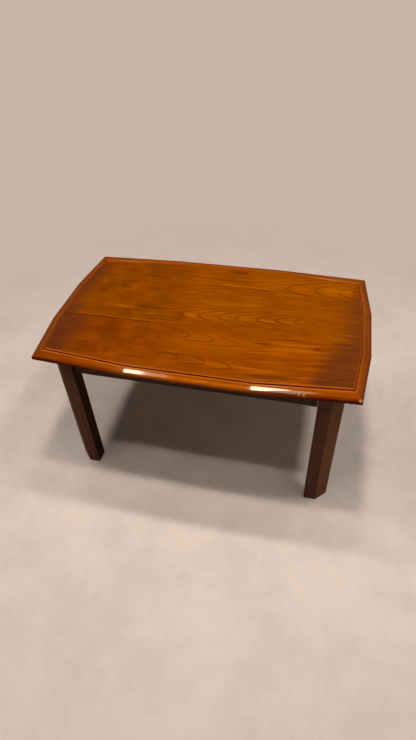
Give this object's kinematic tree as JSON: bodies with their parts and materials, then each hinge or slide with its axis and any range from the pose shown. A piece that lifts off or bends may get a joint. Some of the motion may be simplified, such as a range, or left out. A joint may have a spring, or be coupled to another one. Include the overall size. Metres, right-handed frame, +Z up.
{
  "type": "folding low table",
  "caption": "Low table with a bowed, bullnosed lacquered top, an apron and chamfered legs that fold flat under the top one by one.",
  "frame": {"origin": "on the floor under the middle of the top", "axes": "+X along the top's length, +Y from the front long side to the back one, +Z up"},
  "size_m": [0.9, 0.552, 0.465],
  "materials": {
    "panel_lacquer": "glossy orange-brown lacquer over bold grain",
    "rim_lacquer": "glossy red-brown lacquer",
    "strip_lacquer": "glossy lacquer over a lighter wood",
    "dark_wood": "dark brown stain, satin",
    "frame_wood": "bare planed softwood",
    "bracket_steel": "black enamelled steel",
    "pin_steel": "turned steel",
    "spring_steel": "blued spring steel"
  },
  "bodies": {
    "table_frame": {"top_board_front": "panel_lacquer", "top_board_middle": "panel_lacquer", "top_board_back": "panel_lacquer", "rim_front": "rim_lacquer", "rim_right": "rim_lacquer", "rim_back": "rim_lacquer", "rim_left": "rim_lacquer", "border_strip_front": "strip_lacquer", "border_strip_right": "strip_lacquer", "border_strip_back": "strip_lacquer", "border_strip_left": "strip_lacquer", "apron_front": "dark_wood", "apron_right": "dark_wood", "apron_back": "dark_wood", "apron_left": "dark_wood", "corner_block_front_left": "frame_wood", "corner_block_front_right": "frame_wood", "corner_block_back_left": "frame_wood", "corner_block_back_right": "frame_wood", "cleat_front": "frame_wood", "cleat_right": "frame_wood", "cleat_back": "frame_wood", "cleat_left": "frame_wood", "riser_left": "dark_wood", "riser_right": "dark_wood", "hinge_bracket_front_left": "bracket_steel", "hinge_bracket_front_right": "bracket_steel", "hinge_bracket_back_left": "bracket_steel", "hinge_bracket_back_right": "bracket_steel"},
    "front_left_leg": {"leg_front_left": "dark_wood", "pivot_pin_front_left": "pin_steel", "leaf_spring_front_left": "spring_steel"},
    "front_right_leg": {"leg_front_right": "dark_wood", "pivot_pin_front_right": "pin_steel", "leaf_spring_front_right": "spring_steel"},
    "back_left_leg": {"leg_back_left": "dark_wood", "pivot_pin_back_left": "pin_steel", "leaf_spring_back_left": "spring_steel"},
    "back_right_leg": {"leg_back_right": "dark_wood", "pivot_pin_back_right": "pin_steel", "leaf_spring_back_right": "spring_steel"}
  },
  "joints": [
    {"name": "fold_front_left", "type": "hinge", "parent": "table_frame", "child": "front_left_leg", "pos_m": [-0.355, -0.223, 0.4219], "axis": [1, 0, 0], "range_deg": [0, 90]},
    {"name": "fold_front_right", "type": "hinge", "parent": "table_frame", "child": "front_right_leg", "pos_m": [0.355, -0.223, 0.4219], "axis": [1, 0, 0], "range_deg": [0, 90]},
    {"name": "fold_back_left", "type": "hinge", "parent": "table_frame", "child": "back_left_leg", "pos_m": [-0.355, 0.223, 0.3789], "axis": [-1, 0, 0], "range_deg": [0, 90]},
    {"name": "fold_back_right", "type": "hinge", "parent": "table_frame", "child": "back_right_leg", "pos_m": [0.355, 0.223, 0.3789], "axis": [-1, 0, 0], "range_deg": [0, 90]}
  ]
}
